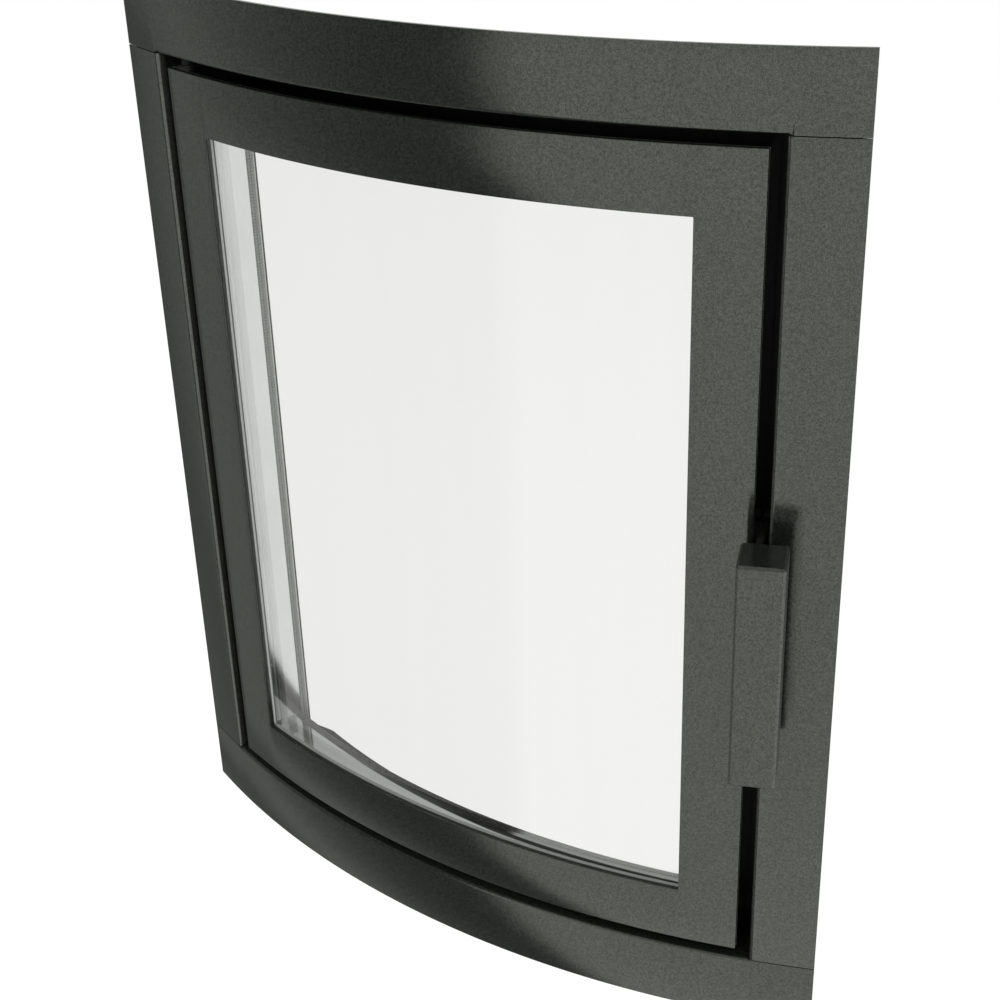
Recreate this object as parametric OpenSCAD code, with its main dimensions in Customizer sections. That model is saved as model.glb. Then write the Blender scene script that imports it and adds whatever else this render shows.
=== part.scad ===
// Curved fireplace glass door: a bowed surround of four strips on a fixed carcass,
// a hinged door with a bent glass pane, a rope seal and a lifting latch handle.
// Everything is drawn about the upright axis of the front's curve: an angle runs
// sideways round that axis, a depth runs inward from the front surface, and z runs
// up from the foot of the surround.  placed() then moves the origin to the middle
// of the rear mounting face.

/* [Overall] */
// Height of the surround
surround_h = 600; // [540:5:720]
// Width of the surround, measured straight across
surround_w = 498; // [470:2:540]
// Radius of the curved front
front_r = 663; // [600:1:800]
// Depth from the foremost front line to the rear mounting face
total_depth = 105; // [104:1:130]

/* [Surround strips] */
// Height of the top strip
top_strip_h = 42; // [40:1:60]
// Height of the bottom strip
bottom_strip_h = 45; // [42:1:60]
// Width of the window that the door sits in, measured straight across
window_w = 423; // [400:1:426]
// Thickness of the strip sheet, which is also its outer bend radius
strip_t = 2.5; // [1.5:0.25:3]
// Depth of the folded returns round the window
return_depth = 22; // [14:1:26]
// Seam between the side strips and the full-width strips
strip_seam = 0.6; // [0.2:0.1:1.5]

/* [Carcass] */
// Width of the carcass box over its side plates
carcass_w = 446; // [444:1:450]
// Thickness of the carcass sheet
carcass_t = 2.5; // [2:0.25:3]
// Clear height from the window to the head and sill plates
carcass_margin = 13.5; // [12:0.5:16]
// Width of the front flanges behind the top and bottom strips
front_flange = 18; // [14:1:22]
// Width of the rear mounting flanges, which turn inward
rear_flange = 15; // [14:1:16]
// Radius of the mounting holes in the rear flanges
mount_hole_r = 3.5; // [2.5:0.25:3.5]
// Hole-to-hole height of the mounting pattern in the side flanges
mount_spacing_z = 440; // [300:10:460]
// Depth of the sill plate behind the seal plates
sill_behind = 24; // [10:1:26]
// Thickness of the plate that the rope seal closes against
land_t = 2; // [1.5:0.5:4]

/* [Door] */
// Gap beside the door on the hinge side
gap_hinge = 13.6; // [11:0.1:16]
// Gap beside the door on the latch side
gap_latch = 8.6; // [8.2:0.1:12]
// Gap above the door
gap_top = 6.9; // [5:0.1:10]
// Gap below the door
gap_bottom = 7.4; // [6:0.1:10]
// Width of the door's side stiles
stile_w = 36.5; // [34:0.5:60]
// Height of the door's top rail
top_rail_h = 36.5; // [34:0.5:60]
// Height of the door's bottom rail
bottom_rail_h = 37; // [34:0.5:60]
// Thickness of the door's face plate
face_t = 3.5; // [2.5:0.5:5]
// Width of the channel round the back of the door
channel_w = 11.5; // [11:0.5:16]
// Depth of the channel, from the front surface to its rear edge
channel_depth = 42.5; // [38:0.5:46]
// Thickness of the channel sheet
channel_t = 1.5; // [1:0.25:2]
// Thickness of the rope seal, from its seat to its rear crown
rope_depth = 10.5; // [9:0.5:12]

/* [Glass] */
// Thickness of the bent glass pane
glass_t = 4; // [3:0.5:5]
// Distance that the glass runs behind the face plate
glass_overlap = 18; // [14:0.5:19]
// Thickness of the tape gasket in front of the glass
front_tape_t = 3; // [1.5:0.5:4]
// Width of the front tape gasket
front_tape_w = 10; // [6:1:14]
// Thickness of the tape gasket behind the glass
rear_tape_t = 2; // [1:0.5:3]
// Width of the glass edge that the retaining strips cover
retainer_grip = 6; // [4:0.5:8]
// Thickness of the retaining strips
retainer_t = 2; // [1:0.5:3]
// Depth of the retaining strips' standing leg
retainer_leg = 15.5; // [12:0.5:17]

/* [Hinge] */
// Radius of the hinge pins
hinge_pin_r = 3.5; // [2.5:0.25:3.5]
// Depth of the hinge axis behind the front surface
hinge_depth = 11; // [10:0.5:14]
// Height of the hinge blocks
hinge_block_h = 20; // [16:1:26]
// Thickness of the fixed hinge brackets
hinge_plate_t = 4; // [3:0.5:5]

/* [Latch] */
// Height of the latch pivot above the foot of the surround
latch_z = 330; // [280:1:420]
// Depth of the latch pivot behind the front surface
latch_depth = 20; // [18:0.5:22]
// Thickness of the latch lever
lever_t = 4; // [3:0.5:4]
// Radius of the latch pivot stud
latch_stud_r = 4; // [3:0.25:4.5]
// Radius of the keeper roller
roller_r = 4; // [3.5:0.25:4]
// Gap between the hook and the keeper roller
hook_gap = 0.5; // [0.4:0.1:0.8]
// Angle that the handle presses in from upright to latch
latch_press = 5; // [3:0.5:5]

/* [Handle] */
// Length of the handle bar
handle_len = 139; // [110:1:180]
// Width of the handle bar
handle_w = 26; // [22:1:30]
// Thickness of the handle bar, front to back
handle_d = 28; // [18:1:30]
// Space between the handle bar and the front surface
handle_standoff = 14; // [13:0.5:24]
// Sideways shift of the bar from the gap that the lever comes through
handle_shift = 4.5; // [0:0.5:6]
// Turn of the bar about its upright middle, towards the right
handle_turn = 3.5; // [0:0.5:5]
// Bevel along the handle bar's edges
handle_bevel = 1.4; // [0.4:0.1:2]

/* [Clearances] */
// Gap between stacked curved layers and between welded sheets
layer_gap = 0.15; // [0.1:0.05:0.3]
// Radial clearance of pins and shafts in their bores
run_gap = 0.05; // [0.02:0.01:0.1]
// Gap between the rope seal and the plate it closes against
seal_gap = 0.5; // [0.4:0.05:0.6]

/* [Hidden] */
$fn = 96;
// How far a cut runs past the face that it cuts, and a union into its neighbour
eps = 0.5;

// Outer radius of the strips' folds, a little over the sheet so that it cuts both faces
fold_r = strip_t * 1.02;

// Angles of the surround, the window, the door and the glass opening
surround_a = asin(surround_w / 2 / front_r);
window_a = asin(window_w / 2 / front_r);
door_left_a = window_a - arc_a(gap_hinge);
door_right_a = window_a - arc_a(gap_latch);
glass_left_a = door_left_a - arc_a(stile_w);
glass_right_a = door_right_a - arc_a(stile_w);

// Heights of the window, the door and the glass opening
window_z0 = bottom_strip_h;
window_z1 = surround_h - top_strip_h;
door_z0 = window_z0 + gap_bottom;
door_z1 = window_z1 - gap_top;
opening_z0 = door_z0 + bottom_rail_h;
opening_z1 = door_z1 - top_rail_h;
pane_z0 = opening_z0 - glass_overlap;
pane_z1 = opening_z1 + glass_overlap;

// Carcass
carcass_x = carcass_w / 2;
inner_x = carcass_x - carcass_t;
head_z = window_z1 + carcass_margin;
sill_z = window_z0 - carcass_margin;
rear_y = total_depth - front_r;
flange_d0 = strip_t + layer_gap;
flange_d1 = flange_d0 + carcass_t;
flange_mid_d = flange_d0 + carcass_t / 2;
side_flange_inset = 5;
side_flange_a = surround_a - arc_a(side_flange_inset);
mount_x = inner_x - rear_flange / 2;
land_edge = 6;
land_far_a = surround_a * 1.1;
land_d0 = channel_depth - channel_t * 2 + rope_depth + seal_gap + layer_gap;
land_left_a = door_left_a - arc_a(land_edge, land_d0);
land_right_a = door_right_a - arc_a(land_edge, land_d0);
land_z0 = door_z0 + land_edge;
land_z1 = door_z1 - land_edge;

// Door channel and rope seal
channel_d0 = face_t + layer_gap;
web_d1 = channel_depth - channel_t * 2;
web_d0 = web_d1 - channel_t;
rope_side_gap = 0.3;
rope_w = channel_w - 2 * channel_t - 2 * rope_side_gap;
rope_d0 = web_d1 + layer_gap;
rope_d1 = rope_d0 + rope_depth;

// Glass stack
glass_d0 = face_t + front_tape_t;
glass_d1 = glass_d0 + glass_t;
retainer_d0 = glass_d1 + rear_tape_t;
retainer_d1 = retainer_d0 + retainer_t + retainer_leg;
retainer_fit = 0.2;
retainer_out = channel_w + retainer_fit;
retainer_in = stile_w - glass_overlap + retainer_grip;
retainer_end_gap = 0.3;
retainer_screw_rise = 5;
retainer_screw_d = retainer_d0 + retainer_t + retainer_screw_rise;
screw_r = 2;
screw_end = 1;
screw_head_r = 3.5;
screw_head_h = 1.4;
retainer_shank = [-layer_gap - eps, retainer_t + retainer_fit + channel_t + screw_end];
retainer_head = [-layer_gap - screw_head_h, -layer_gap];
side_screw_z = [for (k = [-1 : 1]) surround_h / 2 + k * surround_h * 0.3];
rail_screw_a = [-8, 8];

// Hinge
hinge_in = channel_w / 2;
hinge_x = (front_r - hinge_depth) * sin(-door_left_a) + hinge_in * cos(door_left_a);
hinge_y = -(front_r - hinge_depth) * cos(door_left_a) - hinge_in * sin(door_left_a);
bush_t = 1.1;
bush_r = hinge_pin_r + run_gap + bush_t;
bush_end_gap = 1;
bush_flange_t = 1;
bush_flange_inset = 0.15;
bush_flange_r = channel_w / 2 - bush_flange_inset;
collar_inset = 0.25;
collar_r = channel_w / 2 - collar_inset;
collar_hole_gap = 0.6;
pin_hole_gap = 1;
pin_end_gap = 4;
pin_head_r = 6.5;
pin_head_h = 4;
bracket_gap = 0.5;
bracket_top_z = window_z1 + strip_t + bracket_gap;
bracket_bottom_z = window_z0 - strip_t - bracket_gap;
bracket_reach = 10;
bracket_front_gap = 1.5;
bracket_front_d = flange_d1 + bracket_front_gap;
bracket_back = 35;
bracket_ear_h = 20;
bracket_ear_mid = [bracket_bottom_z + bracket_ear_h / 2,
                   bracket_top_z - bracket_ear_h / 2];
bracket_screw_r = 2.5;
bracket_screw_end = 1.5;
bracket_screw_head = 3;
bracket_head_r = 4.5;
bracket_screw_y = [18, 29];

// Latch
latch_a = (window_a + door_right_a) / 2;
side_room = gap_latch / 2;
boss_r = 9;
arm_top = -3.5;
roller_up = roller_r;
roller_back = 17;
hook_lap = 0.5;
hook_t = 5;
hook_x0 = roller_back + roller_r - hook_lap;
hook_x1 = hook_x0 + hook_t;
hook_up = roller_up - roller_r - hook_gap;
hook_edge = 1;
hook_chamfer = 3;
foot_t = 4;
foot_inset = 2;
foot_w = handle_w - 2 * foot_inset;
foot_z0 = -28;
foot_z1 = 6;
bar_above = 14.3;
foot_screw_z = [-21, -6];
foot_screw_in = 8;
stud_thread_r = 3;
stud_end_gap = 1;
stud_tip = 0.5;
shoulder_gap = 0.25;
clip_t = 0.7;
clip_r = 7;
clip_groove = 1;
clip_mouth = 4;
spacer_r = 8;
stop_r = 2.5;
stop_shank_r = 1.5;
stop_clear = 0.3;
stop_d = 8;
stop_end = 0.5;
latch_block_fit = 0.9;
latch_block_w = channel_w - 2 * channel_t - latch_block_fit;
latch_block_x = -side_room - channel_t - shoulder_gap;
latch_block_d = [web_d0 - 24, web_d0 - 2];
latch_block_z = [-22, 18];

// Keeper
keeper_inset = 2.7;
keeper_x = side_room + keeper_inset;
keeper_t = 4;
keeper_nose = 8;
keeper_pin_r = 2.5;
keeper_pin_gap = 0.6;
keeper_pin_x = -lever_t / 2 - keeper_pin_gap;
keeper_head_r = 3.4;
keeper_head_t = 0.6;
keeper_rivet_r = 4;
keeper_rivet_h = 1.5;
keeper_screw_r = 2.5;
keeper_screw_end = 1.5;
keeper_screw_head = 2.8;
keeper_screw_head_r = 4.5;
keeper_screw_inset = 7;
keeper_screw_out = 1;
keeper_foot_w = 16.5;
keeper_z = [-18, 22];
keeper_seat_gap = 0.25;
keeper_d1 = land_d0 - keeper_seat_gap;

// Strip fixings
stud_r = 2.5;
stud_shift_a = 0.1;
stud_d1 = 14;
nut_r = 4.6;
nut_h = 4;
flange_hole_r = 2.8;
rail_stud_a = [-17, -6, 6, 17];
side_stud_z = [for (k = [-1 : 1]) surround_h / 2 + k * surround_h * 0.32];
head_stud_z = head_z + carcass_t + front_flange / 2;
sill_stud_z = sill_z - carcass_t - front_flange / 2;
side_stud_a = (side_flange_a + asin(carcass_x / front_r)) / 2 + stud_shift_a;

charcoal = [0.19, 0.20, 0.19];
bright_steel = [0.72, 0.74, 0.73];
black_sheet = [0.10, 0.10, 0.10];
zinc = [0.60, 0.61, 0.62];
rope_grey = [0.52, 0.52, 0.50];
tape_white = [0.85, 0.85, 0.82];
clear_glass = [0.80, 0.88, 0.86, 0.4];
brass_tone = [0.70, 0.58, 0.32];

// Angle that a length along the curve at a depth takes up
function arc_a(length, depth = 0) = length / (front_r - depth) * 180 / PI;

// Moves the drawing so that its origin is the middle of the rear mounting face
module placed() {
    translate([0, front_r - total_depth, -surround_h / 2])
        children();
}

// Local frame at an angle to the right: x sideways, y inward from the front
module at_angle(a) {
    rotate([0, 0, a])
        translate([0, -front_r, 0])
            children();
}

// Curved plate between two angles, two depths and two heights
module arc_plate(a0, a1, d0, d1, z0, z1) {
    rotate([0, 0, min(a0, a1) - 90])
        rotate_extrude(angle = abs(a1 - a0))
            translate([front_r - d1, min(z0, z1)])
                square([d1 - d0, abs(z1 - z0)]);
}

// Curved frame with a window, given by four edges and a border
module arc_frame(left_a, right_a, z0, z1, border, d0, d1) {
    difference() {
        arc_plate(-left_a - arc_a(border, d0), right_a + arc_a(border, d0), d0, d1,
                  z0 - border, z1 + border);
        arc_plate(-left_a, right_a, d0 - eps, d1 + eps, z0, z1);
    }
}

// Straight block in a local frame, from any two opposite corners
module block(p, q) {
    translate([min(p[0], q[0]), min(p[1], q[1]), min(p[2], q[2])])
        cube([abs(q[0] - p[0]), abs(q[1] - p[1]), abs(q[2] - p[2])]);
}

// Block in the local frame at an angle on either side; x runs away from the middle
module side_block(side, a, p, q) {
    at_angle(side * a)
        block([side * p[0], p[1], p[2]], [side * q[0], q[1], q[2]]);
}

// Rod along local x, y or z
module rod_x(x0, x1, y, z, r) {
    translate([min(x0, x1), y, z])
        rotate([0, 90, 0])
            cylinder(h = abs(x1 - x0), r = r);
}

module rod_y(y0, y1, x, z, r) {
    translate([x, y0, z])
        rotate([-90, 0, 0])
            cylinder(h = y1 - y0, r = r);
}

module rod_z(z0, z1, x, y, r) {
    translate([x, y, min(z0, z1)])
        cylinder(h = abs(z1 - z0), r = r);
}

// ---- Surround strips: sheet with a return folded back round the window ----

// Full-width strip with its return folded back along the window and a rounded fold:
// z is the window edge, and up is 1 or -1 for the way that the face runs from there
module wide_strip(z, face_h, up) {
    difference() {
        union() {
            arc_plate(-surround_a, surround_a, 0, strip_t, z, z + up * face_h);
            arc_plate(-window_a, window_a, strip_t / 2, return_depth, z, z + up * strip_t);
        }
        rotate([0, 0, -window_a - 90])
            rotate_extrude(angle = 2 * window_a)
                difference() {
                    translate([front_r - strip_t, min(z - up * eps, z + up * strip_t)])
                        square([strip_t + eps, strip_t + eps]);
                    translate([front_r - strip_t, z + up * strip_t])
                        circle(r = fold_r);
                }
    }
}

module surround_top_strip() {
    color(charcoal)
    placed()
    difference() {
        wide_strip(window_z1, top_strip_h, 1);
        at_hinge()
            rod_z(window_z1 - eps, window_z1 + strip_t + eps, 0, 0,
                  hinge_pin_r + pin_hole_gap);
    }
}

module surround_bottom_strip() {
    color(charcoal)
    placed()
    difference() {
        wide_strip(window_z0, bottom_strip_h, -1);
        at_hinge()
            rod_z(window_z0 - strip_t - eps, window_z0 + eps, 0, 0,
                  collar_r + collar_hole_gap);
    }
}

// Side strip: the curved face and its flat return, with a rounded fold between them
module side_strip(side) {
    z0 = window_z0 + strip_seam;
    z1 = window_z1 - strip_seam;
    bend_a = window_a + asin(strip_t / front_r);
    intersection() {
        block([-front_r, -front_r - eps, z0], [front_r, 0, z1]);
        difference() {
            union() {
                arc_plate(side * (bend_a - arc_a(strip_t / 2)), side * surround_a, 0,
                          strip_t, z0 - eps, z1 + eps);
                side_block(side, bend_a, [-strip_t, strip_t / 10, z0 - 2 * eps],
                           [0, return_depth, z1 + 2 * eps]);
            }
            difference() {
                side_block(side, bend_a, [-strip_t - eps, -eps, z0 - 3 * eps],
                           [0, strip_t, z1 + 3 * eps]);
                at_angle(side * bend_a)
                    rod_z(z0 - 4 * eps, z1 + 4 * eps, 0, strip_t, fold_r);
            }
        }
    }
}

module surround_left_strip() {
    color(charcoal)
    placed()
        side_strip(-1);
}

module surround_right_strip() {
    color(charcoal)
    placed()
        side_strip(1);
}

// Puts its children at every welded stud on the backs of the strips
module at_strip_studs() {
    for (a = rail_stud_a, z = [sill_stud_z, head_stud_z])
        at_angle(a)
            translate([0, 0, z])
                children();
    for (side = [-1, 1], z = side_stud_z)
        at_angle(side * side_stud_a)
            translate([0, 0, z])
                children();
}

module strip_studs() {
    color(zinc)
    placed()
    at_strip_studs()
        rod_y(strip_t + layer_gap, stud_d1, 0, 0, stud_r);
}

module strip_nuts() {
    color(zinc)
    placed()
    at_strip_studs()
        difference() {
            translate([0, flange_d1 + layer_gap, 0])
                rotate([-90, 0, 0])
                    cylinder(h = nut_h, r = nut_r, $fn = 6);
            rod_y(flange_d1, flange_d1 + layer_gap + nut_h + eps, 0, 0, stud_r + run_gap);
        }
}

// ---- Carcass: head, sill and jambs of folded sheet with a flat rear flange ----

// Puts its children at every mounting hole in the rear flanges
module at_mount_holes() {
    for (sx = [-1, 1], sz = [-1, 1])
        translate([sx * mount_x, rear_y, surround_h / 2 + sz * mount_spacing_z / 2])
            children();
}

module carcass_holes() {
    at_mount_holes()
        rod_y(-carcass_t - eps, eps, 0, 0, mount_hole_r);
    at_strip_studs()
        rod_y(flange_d0 - eps, flange_d1 + eps, 0, 0, flange_hole_r);
}

// Head or sill: z is its inner face, and up is 1 or -1 for the way its front flange runs
module rail_plate(z, up) {
    t = up * carcass_t;
    intersection() {
        block([-carcass_x, -front_r, z], [carcass_x, rear_y, z + t]);
        rod_z(z, z + t, 0, 0, front_r - flange_mid_d);
    }
    arc_plate(-window_a, window_a, flange_d0, flange_d1, z, z + t + up * front_flange);
}

// Head plate, with a rear flange that hangs between the jambs' rear flanges
module head_plate() {
    flange_x = inner_x - rear_flange - layer_gap;
    color(black_sheet)
    placed()
    difference() {
        union() {
            rail_plate(head_z, 1);
            block([-flange_x, rear_y - carcass_t, head_z - rear_flange],
                  [flange_x, rear_y, head_z + carcass_t]);
        }
        carcass_holes();
    }
}

// Sill plate, cut back behind to the curve of the seal plates
module sill_plate() {
    color(black_sheet)
    placed()
    difference() {
        rail_plate(sill_z, -1);
        carcass_holes();
        rod_z(sill_z - carcass_t - eps, sill_z + eps, 0, 0,
              front_r - land_d0 - land_t - sill_behind);
    }
}

// Point of the side flange's frame at an angle, in the plan view
function plan(a, x, d) = [x * cos(a) - (d - front_r) * sin(a),
                          x * sin(a) + (d - front_r) * cos(a)];

// Where a line at a depth in that frame comes to a distance from the middle
function plan_at(a, far, d) = plan(a, (far + (d - front_r) * sin(a)) / cos(a), d);

// Jamb: one folded sheet with its front flange, side plate and inward rear flange
module jamb(side) {
    mid_a = (asin(carcass_x / front_r) + side_flange_a) / 2;
    half_w = front_r * sin(side_flange_a - mid_a);
    front_d = flange_d0 + layer_gap;
    section = [[inner_x - rear_flange, rear_y], [carcass_x, rear_y],
               plan_at(mid_a, carcass_x, flange_d1), plan(mid_a, half_w, flange_d1),
               plan(mid_a, half_w, front_d), plan_at(mid_a, inner_x, front_d),
               [inner_x, rear_y - carcass_t], [inner_x - rear_flange, rear_y - carcass_t]];
    difference() {
        translate([0, 0, sill_z + layer_gap])
            linear_extrude(height = head_z - sill_z - 2 * layer_gap)
                polygon([for (p = section) [side * p[0], p[1]]]);
        carcass_holes();
        if (side < 0)
            at_bracket_screws()
                rod_x(-layer_gap - carcass_t - eps, hinge_plate_t, 0, 0,
                      bracket_screw_r + run_gap);
    }
}

module jamb_left() {
    color(black_sheet)
    placed()
        jamb(-1);
}

module jamb_right() {
    color(black_sheet)
    placed()
        jamb(1);
}

// Plates that the rope seal closes against, one along each side of the throat
module land_side(side, inner_a) {
    intersection() {
        arc_plate(side * inner_a, side * land_far_a, land_d0, land_d0 + land_t,
                  sill_z + layer_gap, head_z - layer_gap);
        block([layer_gap - inner_x, -front_r, sill_z],
              [inner_x - layer_gap, rear_y, head_z]);
    }
}

module seal_land_left() {
    color(black_sheet)
    placed()
        land_side(-1, land_left_a);
}

module seal_land_right() {
    color(black_sheet)
    placed()
    difference() {
        land_side(1, land_right_a);
        at_keeper_screws()
            rod_y(-eps, keeper_seat_gap + land_t + 3 * eps, 0, 0,
                  keeper_screw_r + run_gap);
    }
}

module land_rail(z0, z1) {
    arc_plate(-land_left_a, land_right_a, land_d0, land_d0 + land_t, z0, z1);
}

module seal_land_top() {
    color(black_sheet)
    placed()
        land_rail(land_z1, head_z - layer_gap);
}

module seal_land_bottom() {
    color(black_sheet)
    placed()
        land_rail(sill_z + layer_gap, land_z0);
}

// ---- Hinge: two pins in fixed brackets, carried in bushed blocks on the door ----

module at_hinge() {
    translate([hinge_x, hinge_y, 0])
        children();
}

// Angle bracket on the left jamb; ear_z0 and ear_z1 are the ends of its upright leg
module hinge_bracket(z0, ear_z0, ear_z1, bore_r) {
    x0 = layer_gap - inner_x;
    difference() {
        intersection() {
            union() {
                block([x0, hinge_y - bracket_back, z0],
                      [hinge_x + bracket_reach, hinge_y + bracket_back,
                       z0 + hinge_plate_t]);
                block([x0, hinge_y - bracket_back, ear_z0],
                      [x0 + hinge_plate_t, hinge_y + bracket_back, ear_z1]);
            }
            rod_z(ear_z0 - bracket_ear_h, ear_z1 + bracket_ear_h, 0, 0,
                  front_r - bracket_front_d);
        }
        at_hinge()
            rod_z(z0 - eps, z0 + hinge_plate_t + eps, 0, 0, bore_r);
        at_bracket_screws()
            rod_x(-eps, hinge_plate_t + eps, 0, 0, bracket_screw_r + run_gap);
    }
}

module at_bracket_screws() {
    for (z = bracket_ear_mid, y = bracket_screw_y)
        translate([layer_gap - inner_x, hinge_y + y, z])
            children();
}

module hinge_bracket_top() {
    color(zinc)
    placed()
        hinge_bracket(bracket_top_z, bracket_top_z - bracket_ear_h, bracket_top_z + eps,
                      hinge_pin_r + run_gap);
}

module hinge_bracket_bottom() {
    color(zinc)
    placed()
        hinge_bracket(bracket_bottom_z - hinge_plate_t, bracket_bottom_z - eps,
                      bracket_bottom_z + bracket_ear_h, hinge_pin_r + run_gap);
}

module hinge_bracket_screws() {
    color(zinc)
    placed()
    at_bracket_screws() {
        rod_x(-carcass_t - bracket_screw_end, hinge_plate_t + eps, 0, 0, bracket_screw_r);
        rod_x(hinge_plate_t + layer_gap, hinge_plate_t + bracket_screw_head, 0, 0,
              bracket_head_r);
    }
}

module hinge_pin_top() {
    z1 = bracket_top_z + hinge_plate_t + layer_gap;
    color(zinc)
    placed()
    at_hinge() {
        rod_z(door_z1 - hinge_block_h + pin_end_gap, z1 + eps, 0, 0, hinge_pin_r);
        rod_z(z1, z1 + pin_head_h, 0, 0, pin_head_r);
    }
}

module hinge_pin_bottom() {
    z0 = bracket_bottom_z - hinge_plate_t - layer_gap;
    color(zinc)
    placed()
    at_hinge() {
        rod_z(z0 - eps, door_z0 + hinge_block_h - pin_end_gap, 0, 0, hinge_pin_r);
        rod_z(z0 - pin_head_h, z0, 0, 0, pin_head_r);
        rod_z(bracket_bottom_z + layer_gap, door_z0 - bush_flange_t - 2 * layer_gap,
              0, 0, collar_r);
    }
}

// Solid corner block of the door that takes a bush, with its foot at z0
module hinge_block(z0) {
    difference() {
        side_block(-1, door_left_a, [-channel_w, channel_d0, z0],
                   [0, web_d0 - layer_gap, z0 + hinge_block_h]);
        at_hinge()
            rod_z(z0 - eps, z0 + hinge_block_h + eps, 0, 0, bush_r + run_gap);
    }
}

module hinge_block_top() {
    color(zinc)
    placed()
        hinge_block(door_z1 - hinge_block_h);
}

module hinge_block_bottom() {
    color(zinc)
    placed()
        hinge_block(door_z0);
}

// Flanged bush: z is the block's end face, and up is 1 or -1 for the sleeve's way
module bush(z, up) {
    difference() {
        union() {
            rod_z(z - up * (layer_gap + eps), z + up * (hinge_block_h - bush_end_gap),
                  0, 0, bush_r);
            rod_z(z - up * (bush_flange_t + layer_gap), z - up * layer_gap, 0, 0,
                  bush_flange_r);
        }
        rod_z(z - up * (bush_flange_t + layer_gap + eps), z + up * hinge_block_h, 0, 0,
              hinge_pin_r + run_gap);
    }
}

module hinge_bush_top() {
    color(brass_tone)
    placed()
    at_hinge()
        bush(door_z1, -1);
}

module hinge_bush_bottom() {
    color(brass_tone)
    placed()
    at_hinge()
        bush(door_z0, 1);
}

// ---- Door: face plate and the channel round its back ----

module door_face() {
    color(charcoal)
    placed()
    difference() {
        arc_plate(-door_left_a, door_right_a, 0, face_t, door_z0, door_z1);
        arc_plate(-glass_left_a, glass_right_a, -eps, face_t + eps, opening_z0,
                  opening_z1);
    }
}

// Upright channel: two walls joined by a web, open at the back for the rope seal
module side_channel(side, edge_a) {
    difference() {
        union() {
            side_block(side, edge_a, [-channel_t, channel_d0, door_z0],
                       [0, channel_depth, door_z1]);
            side_block(side, edge_a, [-channel_w, channel_d0, door_z0],
                       [channel_t - channel_w, channel_depth, door_z1]);
            side_block(side, edge_a, [-channel_w, web_d0, door_z0],
                       [0, web_d1, door_z1]);
        }
        for (z = [door_z0 + channel_t, door_z1 - channel_w + channel_t])
            side_block(side, edge_a, [-channel_w - eps, web_d1, z],
                       [eps - channel_w + channel_t, channel_depth + eps,
                        z + channel_w - 2 * channel_t]);
        at_angle(side * edge_a)
            for (z = side_screw_z)
                rod_x(side * (-channel_w - eps), side * (eps - channel_w + channel_t),
                      retainer_screw_d, z, screw_r + run_gap);
    }
}

module door_channel_left() {
    color(bright_steel)
    placed()
    difference() {
        side_channel(-1, door_left_a);
        for (z = [door_z0, door_z1 - hinge_block_h])
            side_block(-1, door_left_a, [-channel_w - eps, 0, z - layer_gap],
                       [eps, web_d0, z + hinge_block_h + layer_gap]);
    }
}

module door_channel_right() {
    color(bright_steel)
    placed()
    difference() {
        union() {
            side_channel(1, door_right_a);
            for (z = [door_z0, door_z1 - channel_t])
                side_block(1, door_right_a, [-channel_w, channel_d0, z],
                           [0, web_d1, z + channel_t]);
        }
        at_latch() {
            rod_x(-side_room - 2 * channel_t, -side_room + 2 * eps, 0, 0,
                  stud_thread_r + run_gap);
            rod_x(-side_room - 2 * channel_t, -side_room + 2 * eps, stop_d - latch_depth,
                  stop_z(), stop_shank_r + run_gap);
        }
    }
}

// Section of the top or bottom channel: z is the door's edge, and up is 1 or -1 for
// the way to the middle
module rail_channel_section(z, up) {
    for (s = [0, channel_w - channel_t])
        translate([front_r - channel_depth, min(z + up * s, z + up * (s + channel_t))])
            square([channel_depth - channel_d0, channel_t]);
    translate([front_r - web_d1, min(z, z + up * channel_w)])
        square([channel_t, channel_w]);
}

// Top or bottom channel, cut off where the two upright channels stand
module rail_channel(z, up) {
    difference() {
        rotate([0, 0, -door_left_a - 90])
            rotate_extrude(angle = door_left_a + door_right_a)
                rail_channel_section(z, up);
        for (s = [[-1, door_left_a], [1, door_right_a]])
            side_block(s[0], s[1], [-channel_w, -eps, z - up * eps],
                       [channel_w, channel_depth + channel_w, z + up * (channel_w + eps)]);
    }
}

module rail_screw_holes(z0, z1) {
    for (a = rail_screw_a)
        at_angle(a)
            rod_z(z0, z1, 0, retainer_screw_d, screw_r + run_gap);
}

module door_channel_top() {
    color(bright_steel)
    placed()
    difference() {
        rail_channel(door_z1, -1);
        rail_screw_holes(door_z1 - channel_w - eps, door_z1 - channel_w + channel_t + eps);
    }
}

module door_channel_bottom() {
    color(bright_steel)
    placed()
    difference() {
        rail_channel(door_z0, 1);
        rail_screw_holes(door_z0 + channel_w - channel_t - eps, door_z0 + channel_w + eps);
    }
}

module door_seal_rope() {
    inset = channel_w / 2 + rope_w / 2;
    color(rope_grey)
    placed()
    arc_frame(door_left_a - arc_a(inset, rope_d0), door_right_a - arc_a(inset, rope_d0),
              door_z0 + inset, door_z1 - inset, rope_w, rope_d0, rope_d1);
}

// ---- Glass: bent pane between tape gaskets, held by four retaining strips ----

module glass_pane() {
    color(clear_glass)
    placed()
    arc_plate(-glass_left_a - arc_a(glass_overlap), glass_right_a + arc_a(glass_overlap),
              glass_d0, glass_d1, pane_z0, pane_z1);
}

module glass_front_tape() {
    color(tape_white)
    placed()
    arc_frame(glass_left_a, glass_right_a, opening_z0, opening_z1, front_tape_w,
              face_t + layer_gap, glass_d0 - layer_gap);
}

module glass_rear_tape() {
    inset = glass_overlap - retainer_grip;
    color(tape_white)
    placed()
    arc_frame(glass_left_a + arc_a(inset), glass_right_a + arc_a(inset),
              opening_z0 - inset, opening_z1 + inset, retainer_grip,
              glass_d1 + layer_gap, retainer_d0 - layer_gap);
}

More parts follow.
